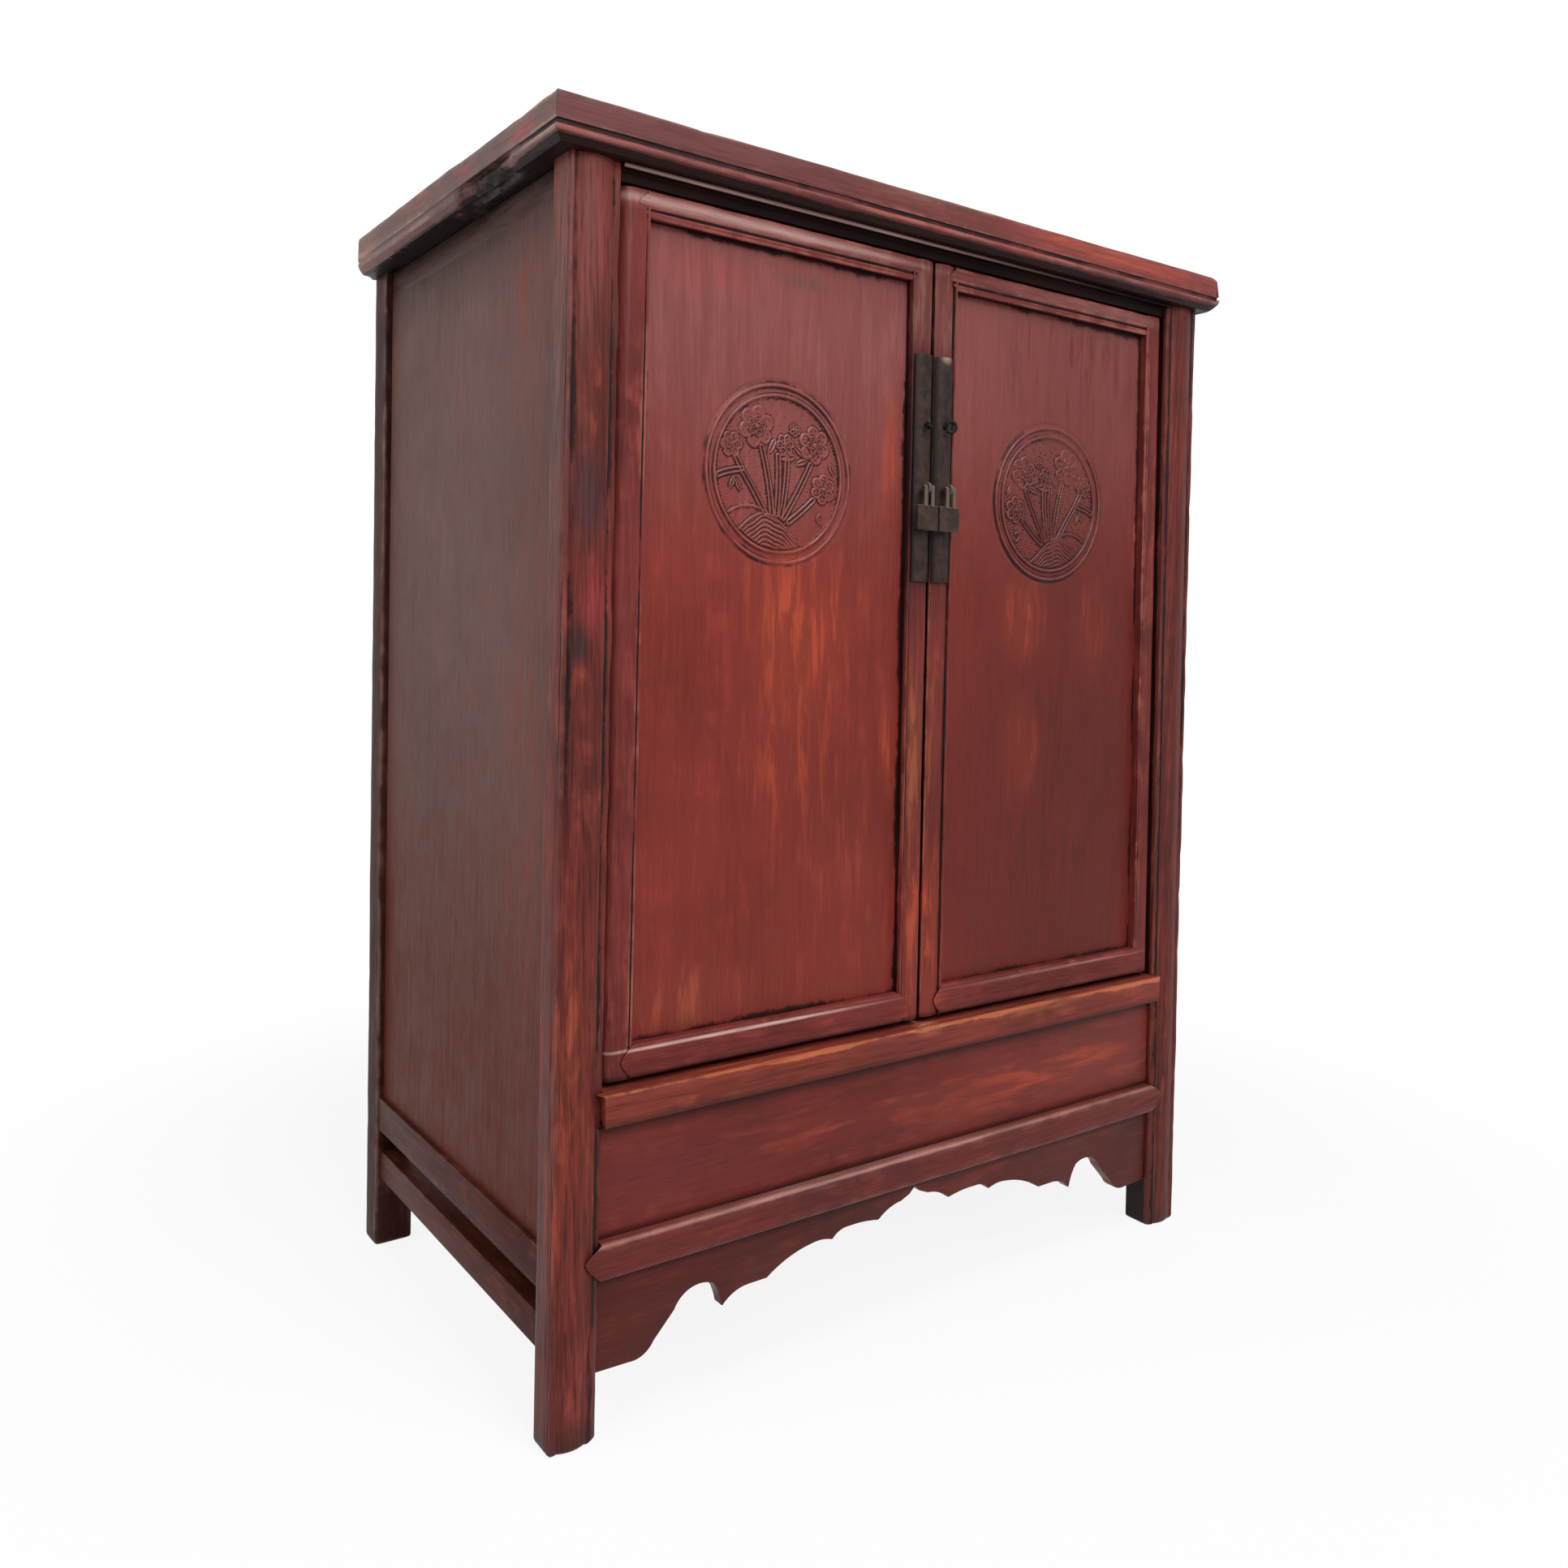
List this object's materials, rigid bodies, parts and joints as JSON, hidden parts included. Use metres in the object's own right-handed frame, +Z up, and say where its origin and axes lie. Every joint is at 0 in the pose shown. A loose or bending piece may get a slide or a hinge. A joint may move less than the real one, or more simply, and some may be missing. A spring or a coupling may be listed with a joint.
{
  "type": "wedding cabinet",
  "caption": "Tapering wooden cabinet on splayed legs with a moulded top, carved doors on wood pivots, a shelf inside and a hidden space under a lift-out floor board.",
  "frame": {"origin": "on the floor at the centre of the four feet", "axes": "+Z up, +Y from the doors to the back, +X to the viewer's right when facing the doors"},
  "size_m": [1.014, 0.606, 1.35],
  "materials": {
    "front_lacquer": "worn dark red lacquer, satin",
    "side_lacquer": "faded red-brown lacquer, matte",
    "inner_wood": "bare aged wood, matte",
    "iron": "dark forged iron, satin"
  },
  "bodies": {
    "cabinet": {"post_front_left": "front_lacquer", "post_front_right": "front_lacquer", "post_back_left": "front_lacquer", "post_back_right": "front_lacquer", "top_frame_front": "front_lacquer", "top_frame_back": "inner_wood", "top_frame_left": "front_lacquer", "top_frame_right": "front_lacquer", "top_panel": "inner_wood", "top_batten_left": "inner_wood", "top_batten_right": "inner_wood", "head_rail_front": "front_lacquer", "head_rail_back": "inner_wood", "head_rail_left": "side_lacquer", "head_rail_right": "side_lacquer", "sill_rail": "front_lacquer", "skirt_panel": "front_lacquer", "lower_rail_front": "front_lacquer", "apron": "front_lacquer", "side_rail_left": "side_lacquer", "side_rail_right": "side_lacquer", "side_stretcher_left": "side_lacquer", "side_stretcher_right": "side_lacquer", "side_panel_left_front": "side_lacquer", "side_panel_left_back": "side_lacquer", "side_panel_right_front": "side_lacquer", "side_panel_right_back": "side_lacquer", "back_rail_middle": "inner_wood", "back_rail_lower": "inner_wood", "back_board_left": "inner_wood", "back_board_right": "inner_wood", "back_skirt_panel": "inner_wood", "floor_board_left": "inner_wood", "floor_board_right": "inner_wood", "bottom_board": "inner_wood", "shelf_board": "inner_wood", "shelf_cleat_left": "inner_wood", "shelf_cleat_right": "inner_wood"},
    "door_left": {"door_left_hanging_stile": "front_lacquer", "door_left_meeting_stile": "front_lacquer", "door_left_top_rail": "front_lacquer", "door_left_bottom_rail": "front_lacquer", "door_left_panel": "front_lacquer", "door_left_batten_upper": "inner_wood", "door_left_batten_lower": "inner_wood", "door_left_face_plate": "iron", "door_left_lock_eyes": "iron"},
    "door_right": {"door_right_hanging_stile": "front_lacquer", "door_right_meeting_stile": "front_lacquer", "door_right_top_rail": "front_lacquer", "door_right_bottom_rail": "front_lacquer", "door_right_panel": "front_lacquer", "door_right_batten_upper": "inner_wood", "door_right_batten_lower": "inner_wood", "door_right_face_plate": "iron", "door_right_lock_eyes": "iron"},
    "pull_left": {"door_left_pull": "iron"},
    "pull_right": {"door_right_pull": "iron"},
    "floor_lid": {"floor_lid": "inner_wood"}
  },
  "joints": [
    {"name": "door_left_hinge", "type": "hinge", "parent": "cabinet", "child": "door_left", "pos_m": [-0.42201, -0.2733, 0.38478], "axis": [-0.0272, -0.0148, -0.9995], "range_deg": [0, 95]},
    {"name": "door_right_hinge", "type": "hinge", "parent": "cabinet", "child": "door_right", "pos_m": [0.42201, -0.2733, 0.38478], "axis": [-0.0272, 0.0148, 0.9995], "range_deg": [0, 95]},
    {"name": "pull_left_swing", "type": "hinge", "parent": "door_left", "child": "pull_left", "pos_m": [-0.017, -0.28957, 1.02809], "axis": [-1, 0, 0], "range_deg": [0, 85]},
    {"name": "pull_right_swing", "type": "hinge", "parent": "door_right", "child": "pull_right", "pos_m": [0.017, -0.28957, 1.02809], "axis": [-1, 0, 0], "range_deg": [0, 85]},
    {"name": "floor_lid_lift", "type": "slide", "parent": "cabinet", "child": "floor_lid", "axis": [0, 0, 1], "range_m": [0, 0.12]}
  ]
}
